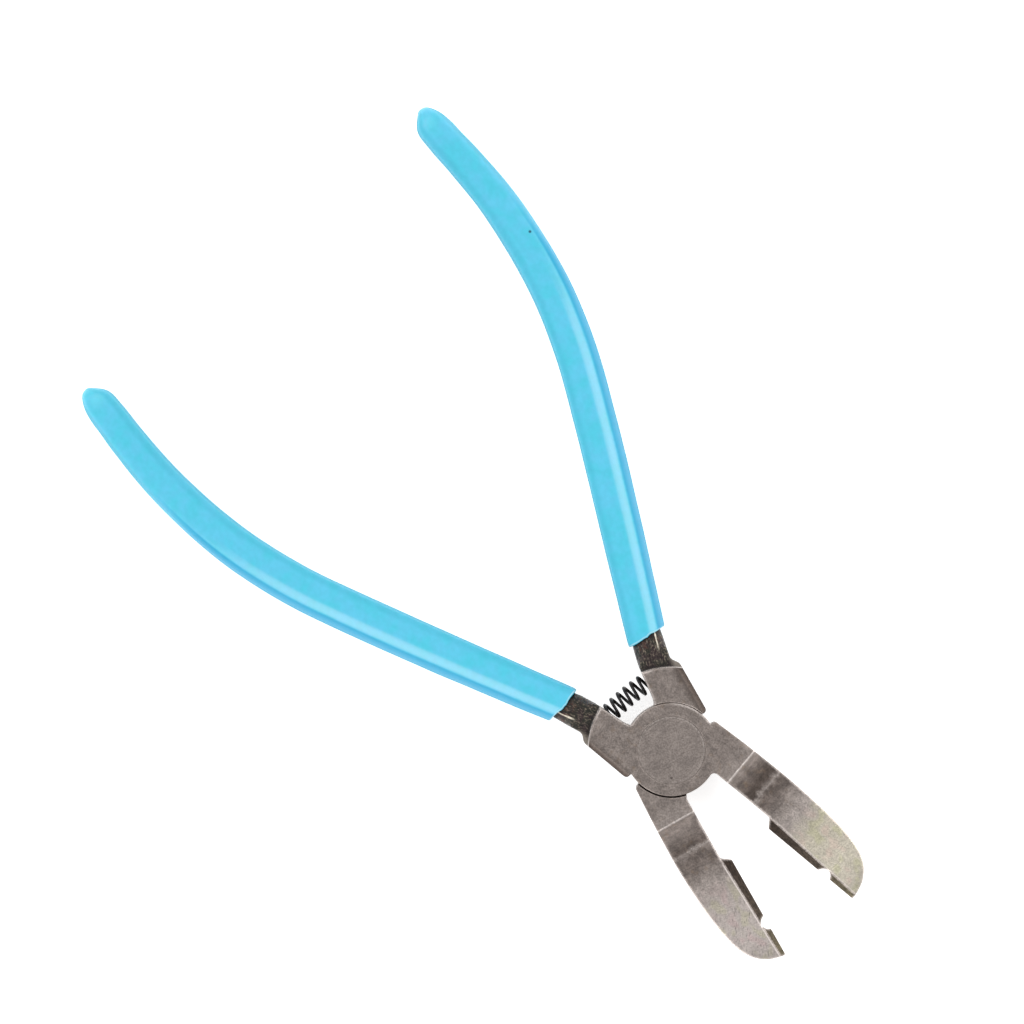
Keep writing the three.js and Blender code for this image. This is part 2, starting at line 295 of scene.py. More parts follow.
def soften(mesh, rounds, mask=None):
    """Moves each vertex towards its neighbours' middle, where the mask lets it."""
    points = coordinates(mesh)
    share = 0.5 if mask is None else 0.5 * mask[:, None]
    for _ in range(rounds):
        points += share * (neighbour_mean(mesh, points) - points)
    set_coordinates(mesh, points)


def scale_mask(points):
    """1 on the forged tang, 0 on the ground head."""
    radius = np.hypot(points[:, 0], points[:, 1])
    behind = smoothstep(HEAD_BACK_RADIUS - 0.15, HEAD_BACK_RADIUS + 0.35, radius)
    return behind * (points[:, 0] < 0)


def tang_mask(points):
    """1 on the tang clear of the head and of the cut inside the grip."""
    clear = smoothstep(-HEAD_BACK_RADIUS - 0.5, -HEAD_BACK_RADIUS - 1.5, points[:, 0])
    return clear * smoothstep(CORE_CUT_X, CORE_CUT_X + 2.0, points[:, 0])


def shape_head(points, side):
    """Widens the boss to a close fit, and eases the shoulder's outer edge."""
    radius = np.hypot(points[:, 0], points[:, 1])
    own_half = (points[:, 2] - MID_Z) * side > -0.2
    rim = own_half & (np.abs(radius - BOSS_RADIUS) < 0.25)
    turn = side * (np.arctan2(points[:, 1], points[:, 0]) + OPEN_HALF_ANGLE)
    grown = DISC_RIM_GROWTH - DISC_OFFSET * np.cos(turn - LAP_GAP_TURN)
    growth = np.where(rim, grown, 0) / radius
    points[:, 0] *= 1 + growth
    points[:, 1] *= 1 + growth
    outer = smoothstep(SHOULDER_OUTER - SHOULDER_EASE, SHOULDER_OUTER, -points[:, 1])
    outer *= (points[:, 0] < -2) * (points[:, 0] > -HEAD_BACK_RADIUS)
    points[:, 2] -= np.sign(points[:, 2] - MID_Z) * SHOULDER_DROP * outer


def relief(points, normal, seed):
    """How far the forging and grinding stand in or out of the plain shape, in millimetres.

    Each noise has its size as its second argument, and its height in front.
    """
    x = points[:, 0]
    up = np.clip(normal[:, 2], 0, 1)
    forged = scale_mask(points)
    lumps = 0.055 * fbm(points, (2.6, 1.4, 1.6), seed) + 0.03 * fbm(points, 0.5, seed + 3)
    wobble = 0.35 * fbm(points, (9, 1.6, 9), seed + 5)
    ridge = bell(x + wobble, RIDGE_X, 0.55) * up
    crest = bell(x, CREST_X, 0.4) * up
    hollow = smoothstep(CREST_X, CREST_X + 1.5, x) * (1 - smoothstep(HEEL_X, HEEL_X + 6, x)) * up
    rough = fbm(points, (0.55, 0.9, 0.9), seed + 9)
    waves = fbm(points, (1.3, 7, 5), seed + 13)
    return (
        forged * lumps
        + ridge * (0.05 + 0.09 * rough)
        + crest * 0.015 * fbm(points, (2, 0.8, 2), seed + 17)
        + hollow * 0.03 * waves
    )


def make_arm(half):
    side = half["side"]
    node = f"jaw_arm_{half['name']}"
    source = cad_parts[node].data
    to_closed = open_matrix(side).inverted()
    mesh = remeshed(cut_part(source, to_closed, True), VOXEL)
    points = coordinates(mesh)
    shape_head(points, side)
    set_coordinates(mesh, points)
    soften(mesh, SMOOTHING_ROUNDS)
    soften(mesh, TANG_ROUNDS, tang_mask(coordinates(mesh)))
    points = coordinates(mesh)
    normal = normals(mesh)
    edge = ((points - neighbour_mean(mesh, points)) * normal).sum(1) / VOXEL
    points += normal * relief(points, normal, half["seed"])[:, None]
    points[:, 2] = np.clip(points[:, 2], FACE_MARGIN, THICKNESS - FACE_MARGIN)
    set_coordinates(mesh, points)
    # how far each vertex stands out on a convex edge, for edge wear and painted edge highlights
    edge_wear_and_light = np.clip(edge / WORN_BEND, 0, 1)
    edge_wear_and_light = 0.5 * edge_wear_and_light + 0.5 * neighbour_mean(mesh, edge_wear_and_light)

    core = cut_part(source, to_closed, False)
    work = bmesh.new()
    work.from_mesh(mesh)
    work.from_mesh(core)
    whole = bpy.data.meshes.new(f"forged_arm_{half['name']}")
    work.to_mesh(whole)
    work.free()
    store(whole, "edge_wear_and_light", np.concatenate((edge_wear_and_light, np.zeros(len(core.vertices)))))
    whole.transform(open_matrix(side))
    if side < 0:
        whole.flip_normals()
    whole.update()
    piece = add_object(f"forged_arm_{half['name']}", whole)
    piece.data.materials.append(steel_material(f"forged_steel_{half['name']}", half))
    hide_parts(node)
    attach(piece, half["body"])


# ---- rivet ----
def rivet_profile(head):
    """Radius and height pairs of the rivet's upper half, from the axis outwards and down."""
    face = [(r, THICKNESS) for r in np.linspace(0.12, head - 0.35, RIVET_FACE_RINGS)]
    rounding = ((0.12, 0.0), (0.05, 0.015), (0.01, 0.06), (0.0, 0.15), (0.0, 0.3))
    rim = [(head - inward, THICKNESS - down) for inward, down in rounding]
    shank = [(RIVET_SHANK_RADIUS, z) for z in (THICKNESS - RIVET_CONE_DEPTH, MID_Z + 0.5)]
    return face + rim + shank


def make_rivet():
    upper = rivet_profile(RIVET_HEAD_RADIUS + RIVET_SPREAD)
    lower = [(r, THICKNESS - z) for r, z in reversed(rivet_profile(RIVET_HEAD_RADIUS))]
    turns = np.linspace(0, 2 * math.pi, RIVET_SIDES, endpoint=False)
    rings = [[(r * math.cos(t), r * math.sin(t), z) for t in turns] for r, z in upper + lower]
    mesh = closed_tube("flush_rivet", rings)
    points = coordinates(mesh)
    radius = np.hypot(points[:, 0], points[:, 1])
    groove_radius, groove_width, groove_depth = RIVET_GROOVE
    groove = groove_depth * bell(radius, groove_radius, groove_width)
    grinding = FACE_MARGIN + RIVET_GRINDING * (1 + fbm(points, (1.2, 0.5, 2), 71.0))
    from_pit = np.hypot(points[:, 0] - RIVET_PIT[0], points[:, 1] - RIVET_PIT[1])
    pit = RIVET_PIT_DEPTH * bell(from_pit, 0, RIVET_PIT_RADIUS)
    face = smoothstep(THICKNESS - 0.5, THICKNESS - 0.05, points[:, 2])
    under = smoothstep(0.5, 0.05, points[:, 2])
    points[:, 2] += under * (groove + grinding) - face * (groove + grinding + pit)
    points[:, 2] = np.clip(points[:, 2], FACE_MARGIN, THICKNESS - FACE_MARGIN)
    set_coordinates(mesh, points)
    mesh.transform(Matrix.Scale(MM, 4))
    piece = add_object("flush_rivet", mesh)
    piece.data.materials.append(rivet_material())
    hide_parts("pivot_rivet")
    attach(piece, "upper_half")


# ---- return spring ----
def make_spring():
    low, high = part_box("return_spring")
    reach = (high.y - low.y) / 2 / MM - WIRE_RADIUS
    end_x = high.x / MM - COIL_RADIUS - WIRE_RADIUS + SPRING_SHIFT
    turns = 2 * SPRING_END_TURNS + SPRING_ACTIVE_TURNS
    steps = int(turns * SPRING_STEPS)
    turned = np.linspace(0, turns, steps)
    rise = np.interp(
        turned,
        (0, SPRING_END_TURNS, turns - SPRING_END_TURNS, turns),
        (0, SPRING_END_RISE, 2 * reach - SPRING_END_RISE, 2 * reach),
    )
    across = rise - reach
    bow = SPRING_BULGE * (1 - (across / reach) ** 2)
    angle = 2 * math.pi * turned + SPRING_PHASE
    centre = np.stack(
        (
            end_x - bow + COIL_RADIUS * np.cos(angle),
            across,
            MID_Z + COIL_RADIUS * np.sin(angle),
        ),
        1,
    )
    along = np.gradient(centre, axis=0)
    along /= np.linalg.norm(along, axis=1)[:, None]
    outward = np.stack((np.cos(angle), np.zeros(steps), np.sin(angle)), 1)
    beside = np.cross(along, outward)
    beside /= np.linalg.norm(beside, axis=1)[:, None]
    outward = np.cross(beside, along)
    around = np.linspace(0, 2 * math.pi, WIRE_SIDES, endpoint=False)
    rings = [
        [c + DRAWN_WIRE_RADIUS * (math.cos(t) * o + math.sin(t) * b) for t in around]
        for c, o, b in zip(centre, outward, beside)
    ]
    mesh = closed_tube("coil_spring", rings)
    mesh.transform(Matrix.Scale(MM, 4))
    piece = add_object("coil_spring", mesh)
    piece.data.materials.append(spring_material())
    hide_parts("return_spring")
    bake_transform(piece)


# ---- grips ----
def handle_curve(samples=900):
    """Points, directions and arc length of the handle's centre line (a centripetal Catmull-Rom)."""
    knots = np.asarray(HANDLE_LINE, float)
    knots = np.concatenate(([2 * knots[0] - knots[1]], knots, [2 * knots[-1] - knots[-2]]))
    gaps = np.sqrt(np.linalg.norm(np.diff(knots, axis=0), axis=1))
    pieces = []
    for i in range(1, len(knots) - 2):
        p0, p1, p2, p3 = knots[i - 1 : i + 3]
        d0, d1, d2 = gaps[i - 1 : i + 2]
        m1 = ((p1 - p0) / d0 - (p2 - p0) / (d0 + d1) + (p2 - p1) / d1) * d1
        m2 = ((p2 - p1) / d1 - (p3 - p1) / (d1 + d2) + (p3 - p2) / d2) * d1
        t = np.linspace(0, 1, samples // (len(knots) - 3), endpoint=False)[:, None]
        cubic = (2 * t**3 - 3 * t**2 + 1) * p1 + (t**3 - 2 * t**2 + t) * m1
        pieces.append(cubic + (3 * t**2 - 2 * t**3) * p2 + (t**3 - t**2) * m2)
    line = np.concatenate(pieces + [knots[-2:-1]])
    length = np.concatenate(([0], np.cumsum(np.linalg.norm(np.diff(line, axis=0), axis=1))))
    along = np.gradient(line, axis=0)
    along /= np.linalg.norm(along, axis=1)[:, None]
    return line, along, length / length[-1]


LINE, ALONG, STATION = handle_curve()


def on_handle(station, aside):
    """The XY place at a station, that far aside. Aside is positive on the handle's outer side."""
    x, y = (np.interp(station, STATION, LINE[:, k]) for k in (0, 1))
    ax, ay = (np.interp(station, STATION, ALONG[:, k]) for k in (0, 1))
    return np.stack((x - ay * aside, y + ax * aside), -1)


# Corners of the grip's section, half width and half height being 1. First the part with a soft
# ridge and a sloping facet on its outer side, then the plainer section near the end.
RIDGED = (
    (-1.0, 0.0), (-1.0, 0.58), (-0.93, 0.84), (-0.74, 0.96), (-0.3, 1.0), (0.14, 1.0),
    (0.67, 0.76), (0.95, 0.3), (1.0, 0.0),
)
PLAIN = (
    (-1.0, 0.0), (-1.0, 0.5), (-0.9, 0.8), (-0.62, 0.96), (-0.2, 1.0), (0.2, 1.0),
    (0.68, 0.93), (0.97, 0.55), (1.0, 0.0),
)
OCTAGON = (
    (-1.0, 0.0), (-1.0, 0.56), (-0.9, 0.72), (-0.7, 0.93), (-0.3, 1.0), (0.3, 1.0),
    (0.7, 0.93), (0.97, 0.6), (1.0, 0.0),
)


def section(corners):
    """A closed ring of points: the corners and their mirror image below, rounded."""
    upper = np.asarray(corners, float)
    lower = upper[-2:0:-1] * (1, -1)
    ring = chaikin(np.concatenate((upper, lower)), 2)
    return ring / np.abs(ring).max(0)


def grip_half_width(station):
    return GRIP_SWELL + GRIP_FULL_HALF_WIDTH - GRIP_WAIST * (station - GRIP_FULLEST) ** 2


def taper(station, tang_size, core_size):
    """The tang's size up to TANG_END, the core's from CORE_START, and straight in between."""
    return np.interp(station, (TANG_END, CORE_START), (tang_size, core_size))


def mouth_station(aside, height, seed):
    """Where the mouth's slanted, slightly wavy line meets the grip, for each point of a section."""
    stations = np.linspace(0.04, 0.16, 200)
    turn = np.arctan2(height, aside)
    wave = 0.14 * np.sin(2 * turn + seed) + 0.08 * np.sin(5 * turn + 2 * seed)
    found = []
    for offset, shift in zip(aside, wave):
        x = on_handle(stations, np.full(stations.shape, offset))[:, 0]
        found.append(np.interp(-(GRIP_FRONT_X + shift), -x, stations))
    return np.array(found)


# The grip's end: its inner and outer edge in the closed position, from the body to the tip.
END_X = (-134.6, -141.9)
END_INNER = (
    (-134.6, -17.6), (-136.5, -17.35), (-137.9, -17.5), (-139.2, -18.0), (-140.4, -18.85),
    (-141.5, -19.65), (-141.85, -20.2), (-141.9, -20.95),
)
END_OUTER = (
    (-134.6, -25.2), (-136.1, -25.0), (-138.1, -24.45), (-139.8, -23.6), (-141.1, -22.55),
    (-141.75, -21.7), (-141.9, -20.95),
)
BODY_END = float(np.interp(-END_X[0], -LINE[:, 0], STATION))

MOUTH_HALF_WIDTH = 4.2
BORE_RINGS = 40
BODY_RINGS = 190
END_RINGS = 26
END_BLEND = 9  # over this many rings the body's section turns into the end's
STATION_MM = 1 / 135  # a millimetre along the handle, as a station
# The rolled lip: how far in from the mouth, in millimetres, and the share from the bore to the skin.
LIP = ((0.5, 0.0), (0.16, 0.1), (0.0, 0.34), (0.0, 0.6), (0.1, 0.82), (0.32, 0.95), (0.7, 1.0))
FIRST_SKIN_RING = BORE_RINGS + 5  # the dipped skin's lumps start in the lip
LUMP_HEIGHT = 0.06
LUMP_SINK = 0.05  # keeps the lumps inside the CAD part's box


def end_rings(shape):
    """Rings over the grip's rounded end, square to X."""
    inner, outer = (chaikin(line, 3, closed=False) for line in (END_INNER, END_OUTER))
    rings = []
    for i in range(1, END_RINGS + 1):
        turn = i / END_RINGS * math.pi / 2
        x = END_X[0] + (END_X[1] - END_X[0]) * math.sin(turn) * 0.999
        y_in, y_out = (np.interp(-x, -edge[:, 0], edge[:, 1]) for edge in (inner, outer))
        middle, half = (y_in + y_out) / 2, (y_in - y_out) / 2
        height = GRIP_HALF_HEIGHT * math.cos(turn * 0.985) ** 0.8
        y = middle - half * shape[:, 0]
        rings.append(np.stack((np.full(len(y), x), y, MID_Z + height * shape[:, 1]), 1))
    return rings


def bore_ring(station, shape):
    """A ring round the tang or its core, at each point's own station."""
    wide = taper(station, TANG_HALF_WIDTH, CORE_HALF_WIDTH) + BORE_GAP
    tall = taper(station, TANG_HALF_HEIGHT, CORE_HALF_HEIGHT) + BORE_GAP
    place = on_handle(station, wide * shape[:, 0])
    return np.column_stack((place, MID_Z + tall * shape[:, 1]))


def skin_ring(station, ridged, plain):
    """A ring of the grip's outside, at each point's own station."""
    plainness = smoothstep(0.55, 0.72, station)[:, None]
    shape = ridged * (1 - plainness) + plain * plainness
    aside = grip_half_width(station) * shape[:, 0]
    place = on_handle(station, aside)
    # towards the end the rings turn square to X, as the end's own rings are
    square = on_handle(station, 0 * aside)
    square[:, 1] += aside / np.interp(station, STATION, ALONG[:, 0])
    turned = smoothstep(0.85, 0.93, station)[:, None]
    place = place * (1 - turned) + square * turned
    return np.column_stack((place, MID_Z + GRIP_HALF_HEIGHT * shape[:, 1]))


def grip_rings(ridged, plain, seed):
    """Rings from the bottom of the bore out to the mouth, round the lip and along to the tip.

    Each comes with its points' stations and with how far it is in from the mouth, in millimetres.
    """
    octagon = section(OCTAGON)
    start = mouth_station(MOUTH_HALF_WIDTH * ridged[:, 0], ridged[:, 1], seed)
    body_start = start + LIP[-1][0] * STATION_MM
    rings = []
    for depth in np.linspace(CORE_END - 0.12, 0.02, BORE_RINGS):
        station = start + depth
        rings.append((bore_ring(np.minimum(station, CORE_END), octagon), station, 0.0))
    for inset, share in LIP:
        station = start + inset * STATION_MM
        bore, skin = bore_ring(station, octagon), skin_ring(station, ridged, plain)
        rings.append((bore * (1 - share) + skin * share, station, inset))
    for share in np.linspace(0, 1, BODY_RINGS)[1:]:
        station = body_start + share * (BODY_END - body_start)
        rings.append((skin_ring(station, ridged, plain), station, 1.0))
    body_last = rings[-1][0]
    ends = end_rings(plain)
    for i, ring in enumerate(ends):
        blend = smoothstep(0, END_BLEND, i + 1)
        ring = ring * blend + (body_last + ring - ends[0]) * (1 - blend)
        rings.append((ring, np.full(len(ring), 1.0), 1.0))
    return rings


def make_grip(half):
    side, seed = half["side"], half["seed"]
    name = f"dipped_grip_{half['name']}"
    ridged, plain = section(RIDGED), section(PLAIN)
    around = len(ridged)
    rings, stations, insets = zip(*grip_rings(ridged, plain, seed))
    mesh = closed_tube(name, rings)
    # each attribute ends with the values of the two end fans' middles
    store(mesh, "across", np.append(np.tile(ridged[:, 0], len(rings)), (0, 0)))
    store(mesh, "along", np.append(np.concatenate(stations), (1, 1)))
    store(mesh, "inset", np.append(np.repeat(insets, around), (1, 1)))
    points, normal = coordinates(mesh), normals(mesh)
    on_skin = np.repeat(np.arange(len(rings)) >= FIRST_SKIN_RING, around)
    on_skin = np.append(on_skin, (False, True))
    lumps = LUMP_HEIGHT * fbm(points, (14, 7, 7), seed, 2) - LUMP_SINK
    points += normal * (lumps * on_skin)[:, None]
    set_coordinates(mesh, points)
    mesh.transform(open_matrix(side))
    if side < 0:
        mesh.flip_normals()
    piece = add_object(name, mesh)
    speck = GRIP_SPECK if side < 0 else None
    piece.data.materials.append(pvc_material(f"dipped_pvc_{half['name']}", seed, speck))
    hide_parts(f"grip_{half['name']}_arm")
    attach(piece, half["body"])


# ---- materials ----
def linear(share):
    """A screen value from 0 to 1 as light."""
    return share / 12.92 if share <= 0.04045 else ((share + 0.055) / 1.055) ** 2.4


def tint(red, green, blue, gain=1.0):
    """A colour given in 0 to 255 screen values, as linear RGBA."""
    return (*(gain * linear(value / 255) for value in (red, green, blue)), 1.0)


class Shader:
    """A material's node tree, made by short calls that take and return sockets."""

    def __init__(self, name):
        self.material = bpy.data.materials.new(name)
        self.material.use_nodes = True
        self.tree = self.material.node_tree
        self.surface = self.tree.nodes["Principled BSDF"]

    def feed(self, socket, value):
        if isinstance(value, bpy.types.NodeSocket):
            self.tree.links.new(value, socket)
        else:
            socket.default_value = value

    def add(self, kind, inputs, **settings):
        node = self.tree.nodes.new("ShaderNode" + kind)
        for key, value in settings.items():
            setattr(node, key, value)
        for key, value in inputs.items():
            self.feed(node.inputs[key], value)
        return node

    def set(self, **values):
        for key, value in values.items():
            self.feed(self.surface.inputs[key.replace("_", " ")], value)

    def math(self, operation, *values):
        return self.add("Math", dict(enumerate(values)), operation=operation).outputs[0]

    def window(self, value, low, high, to_low=0.0, to_high=1.0):
        """value eased from one range to another."""
        ends = {"From Min": low, "From Max": high, "To Min": to_low, "To Max": to_high}
        node = self.add("MapRange", {"Value": value, **ends}, interpolation_type="SMOOTHSTEP")
        return node.outputs["Result"]

    def product(self, *values):
        result = values[0]
        for value in values[1:]:
            result = self.math("MULTIPLY", result, value)
        return result

    def band(self, value, start, full, still, end):
        """0 up to start, 1 from full to still, and 0 again from end on."""
        return self.product(self.window(value, start, full), self.window(value, end, still))

    def distance(self, x, y, to_x=0.0, to_y=0.0):
        off_x, off_y = self.math("SUBTRACT", x, to_x), self.math("SUBTRACT", y, to_y)
        squares = self.math("ADD", self.product(off_x, off_x), self.product(off_y, off_y))
        return self.math("SQRT", squares)

    def mix(self, share, first, second, blend_type="MIX"):
        inputs = {0: share, 6: first, 7: second}
        return self.add("Mix", inputs, data_type="RGBA", blend_type=blend_type).outputs[2]

    def shade(self, color, amount):
        """color times a grey amount, which is a socket."""
        grey = self.add("CombineColor", {0: amount, 1: amount, 2: amount}).outputs[0]
        return self.mix(1.0, color, grey, "MULTIPLY")

    def vary(self, color, shift):
        """color made lighter and darker by a share around 0."""
        return self.shade(color, self.math("ADD", 1.0, shift))

    def ramp(self, value, low, high, stops):
        """A colour ramp over value, whose stops are (value, colour) pairs from low to high."""
        share = self.math("DIVIDE", self.math("SUBTRACT", value, low), high - low)
        node = self.add("ValToRGB", {0: share})
        elements = node.color_ramp.elements
        while len(elements) < len(stops):
            elements.new(0.5)
        for element, (at, color) in zip(elements, stops):
            element.position = (at - low) / (high - low)
            element.color = color
        return node.outputs[0]

    def place(self, side=1, turn=0.0):
        """The place in millimetres, mirrored for the lower half and turned about Z."""
        coordinate = self.add("TexCoord", {}).outputs["Object"]
        scale = (1 / MM, side / MM, 1 / MM)
        inputs = {"Vector": coordinate, "Scale": scale, "Rotation": (0, 0, turn)}
        return self.add("Mapping", inputs).outputs[0]

    def grain(self, vector, size, turn=0.0, detail=3.0, seed=0.0):
        """Noise around 0.5 with features of that size, or those sizes along X, Y and Z."""
        sizes = np.broadcast_to(np.asarray(size, float), 3)
        turned = self.add("Mapping", {"Vector": vector, "Rotation": (0, 0, turn)}).outputs[0]
        inputs = {"Vector": turned, "Location": (seed, seed, seed), "Scale": tuple(1 / sizes)}
        scaled = self.add("Mapping", inputs).outputs[0]
        return self.add("TexNoise", {"Vector": scaled, "Scale": 1.0, "Detail": detail}).outputs[0]

    def parts(self, vector):
        return tuple(self.add("SeparateXYZ", {0: vector}).outputs)

    def attribute(self, name):
        return self.add("Attribute", {}, attribute_name=name).outputs["Fac"]

    def bump(self, height, distance, strength=1.0):
        inputs = {"Height": height, "Distance": distance, "Strength": strength}
        return self.add("Bump", inputs).outputs[0]


STEEL_GAIN = 1.27  # the studio's ceiling is darker than white, so the steel's colours are raised

# Brightness (0 to 255) of the ground top along each jaw, with light and shade painted in: flat to
# the crest, a painted highlight on the crest line, painted shade in the hollow, lighter on the
# ridge, and painted light on the blade, which is lightest.
UPPER_SHADED_TONES = (
    (0, 122), (9, 120), (13.1, 134), (13.25, 208), (13.4, 208), (13.55, 124), (16, 100), (18, 77),
    (19.4, 79), (20.3, 116), (21.2, 93), (23, 102), (26, 134), (29, 158), (34, 178), (47, 196),
)
LOWER_SHADED_TONES = (
    (0, 122), (9, 122), (13.1, 138), (13.25, 200), (13.4, 200), (13.55, 112), (16, 118), (18, 102),
    (19.4, 86), (20.3, 120), (21.2, 102), (24, 104), (26, 126), (29, 150), (34, 168), (47, 180),
)
WARM = (6, -3, -8)  # red, green and blue of the steel's own grey
YELLOWED = (8, 1, -14)  # and of the upper half's blade
ROSY = (1.05, 0.97, 0.99, 1.0)  # casts that the tarnish gives the blades
OLIVE = (0.98, 1.01, 0.89, 1.0)
# The bevel's colour along the working edge.
BEVEL_TONES = (
    (25.0, (62, 49, 41)), (32.0, (74, 63, 54)), (39.0, (88, 77, 66)), (48.0, (112, 104, 84)),
)
TONES_END_X = 50.0
TANG_TURN = math.radians(16)  # of the tang's line from X
TANG_PLACE = HANDLE_LINE[1]  # a place on it
TANG_RIDGE = 1.68  # from that line to the ridge, where a highlight is painted
LAP_LINE_TURN = math.radians(111)  # the middle of the painted highlight on the disc's rim
LINE_TONE = 196  # of the thin light lines: painted highlights, with some edge wear


def warm(level, gain=1.0, cast=WARM):
    """The steel's grey at a brightness from 0 to 255."""
    return tint(*(level + shift for shift in cast), gain)


def steel_stops(side):
    """The stops of the colour ramp along a jaw, with its painted light and shade."""
    stops = []
    for x, level in UPPER_SHADED_TONES if side > 0 else LOWER_SHADED_TONES:
        cast = YELLOWED if side > 0 and x > 33 else WARM
        stops.append((x, warm(level, STEEL_GAIN, cast)))
    return stops


def tarnish(s, seed, place, color, blade, coarse, fine):
    """Clouds and grain, rosy and olive patches on the blade, and light rust on the head."""
    cloudy = s.window(s.grain(place, 0.9, seed=seed + 6), 0.3, 0.7, -0.1, 0.1)
    cloudy = s.math("ADD", cloudy, s.window(coarse, 0.3, 0.7, -0.13, 0.13))
    color = s.vary(color, s.product(cloudy, s.window(blade, 0, 1, 1, 0.35)))
    grainy = s.product(s.window(fine, 0.25, 0.75, -0.21, 0.23), s.window(blade, 0, 1, 1, 0.5))
    color = s.vary(color, grainy)
    patches = s.grain(place, (3.4, 2.6, 3.0), detail=1.0, seed=seed + 23)
    color = s.mix(s.product(blade, s.window(patches, 0.52, 0.66)), color, ROSY, "MULTIPLY")
    color = s.mix(s.product(blade, s.window(patches, 0.48, 0.34)), color, OLIVE, "MULTIPLY")
    rusty = s.window(s.grain(place, 1.6, detail=4.0, seed=seed + 8), 0.55, 0.75, 0.0, 0.3)
    rusty = s.product(rusty, s.window(s.parts(place)[0], 30, 24))
    return s.mix(rusty, color, tint(128, 108, 88, STEEL_GAIN))


def hollow_marks(s, seed, place, color, hollow):
    """Streaks and clouds across the hollow ramp."""
    across = s.grain(place, (0.35, 3.5, 1.5), seed=seed + 7)
    streaks = s.window(across, 0.3, 0.7, -0.09, 0.09)
    clouds = s.grain(place, (2.4, 3.2, 2.4), detail=2.0, seed=seed + 22)
    clouds = s.window(clouds, 0.3, 0.7, -0.2, 0.2)
    return s.vary(color, s.product(hollow, s.math("ADD", streaks, clouds)))


def ridge_marks(s, seed, place, color, shift, fine):
    """The crushed, lighter ridge, with bright specks and dark scars."""
    crushed = s.grain(place, (0.9, 1.3, 0.9), detail=5.0, seed=seed + 21)
    along = s.math("ADD", s.parts(place)[0], s.product(shift, 1.5))
    on_ridge = s.band(along, RIDGE_X - 1.1, RIDGE_X - 0.2, RIDGE_X + 0.2, RIDGE_X + 1.5)
    light = s.product(on_ridge, s.window(crushed, 0.38, 0.6), 0.45)
    color = s.mix(light, color, warm(150, STEEL_GAIN))
    specks = s.product(on_ridge, s.window(fine, 0.6, 0.68), s.window(crushed, 0.48, 0.58), 0.7)
    color = s.mix(specks, color, warm(200, STEEL_GAIN))
    scars = s.product(on_ridge, s.window(fine, 0.42, 0.34), 0.3)
    return s.mix(scars, color, warm(62, STEEL_GAIN))


def blade_marks(s, side, seed, place, color, blade):
    """Fine grinding marks and short dark dashes."""
    grinding = s.grain(place, (0.22, 2.6, 1.0), math.radians(12 * side), 2.0, seed + 10)
    color = s.vary(color, s.product(blade, s.window(grinding, 0.3, 0.7, -0.06, 0.06)))
    hatch = s.grain(place, (0.2, 1.3, 1.0), math.radians(60), 2.0, seed + 11)
    near_nose = s.window(s.parts(place)[0], 30, 38)
    dashes = s.product(near_nose, s.window(hatch, 0.6, 0.68), 0.45 if side < 0 else 0.2)
    return s.shade(color, s.math("SUBTRACT", 1.0, dashes))


def bevelled(s, side, seed, place, color, fine):
    """The dark bevel under the working edge with a painted highlight line above it, and where it is.
    """
    x, y, z = s.parts(place)
    edge_line = s.math("ADD", EDGE_Y, s.product(z, BEVEL_SLOPE))
    above_line = s.math("SUBTRACT", y, edge_line)
    on_bevel = s.window(above_line, 0.3, 0.08)
    on_bevel = s.product(on_bevel, s.window(x, HEEL_X - 0.3, HEEL_X + 0.2))
    bevel = s.ramp(x, HEEL_X, TONES_END_X, [(at, tint(*tone)) for at, tone in BEVEL_TONES])
    bevel = s.shade(bevel, s.window(s.grain(place, 1.1, seed=seed + 12), 0.3, 0.7, 0.65, 1.35))
    bevel = s.shade(bevel, s.window(fine, 0.3, 0.7, 0.7, 1.35))
    color = s.mix(on_bevel, color, bevel)
    # a painted highlight along the top edge of the bevel, stronger on the lower half
    edge_highlight = s.product(s.band(above_line, 0.15, 0.24, 0.36, 0.52), 0.75 if side < 0 else 0.3)
    edge_highlight = s.product(edge_highlight, s.window(x, HEEL_X + 0.5, HEEL_X + 2))
    return s.mix(edge_highlight, color, warm(226, STEEL_GAIN)), on_bevel


def ground_color(s, side, seed, place, coarse, fine):
    """The ground head and jaw, and where the bevel is."""
    x, y, z = s.parts(place)
    hollow = s.band(x, CREST_X + 0.1, CREST_X + 0.9, HEEL_X - 1, HEEL_X + 4)
    shift = s.window(s.grain(place, (9, 1.8, 9), seed=seed + 5), 0.3, 0.7, -0.4, 0.4)
    wavy_x = s.math("ADD", x, s.product(hollow, shift))
    banded = s.ramp(wavy_x, 0.0, TONES_END_X, steel_stops(side))
    beneath = s.product(s.window(x, 12.0, 14.0), s.window(z, 3.2, 1.6))
    color = s.mix(beneath, banded, warm(118, STEEL_GAIN))
    blade = s.window(x, HEEL_X + 2, HEEL_X + 8)
    color = tarnish(s, seed, place, color, blade, coarse, fine)
    color = hollow_marks(s, seed, place, color, hollow)
    color = ridge_marks(s, seed, place, color, shift, fine)
    color = blade_marks(s, side, seed, place, color, blade)
    color, on_bevel = bevelled(s, side, seed, place, color, fine)

    # painted shade on the shoulder's eased outer edge
    eased_edge_shade = s.window(y, -8.3 if side > 0 else -7.4, -10.4)
    eased_edge_shade = s.product(eased_edge_shade, s.window(x, -2.0, -3.5), 0.95)
    return s.mix(eased_edge_shade, color, tint(62, 53, 48, STEEL_GAIN)), on_bevel


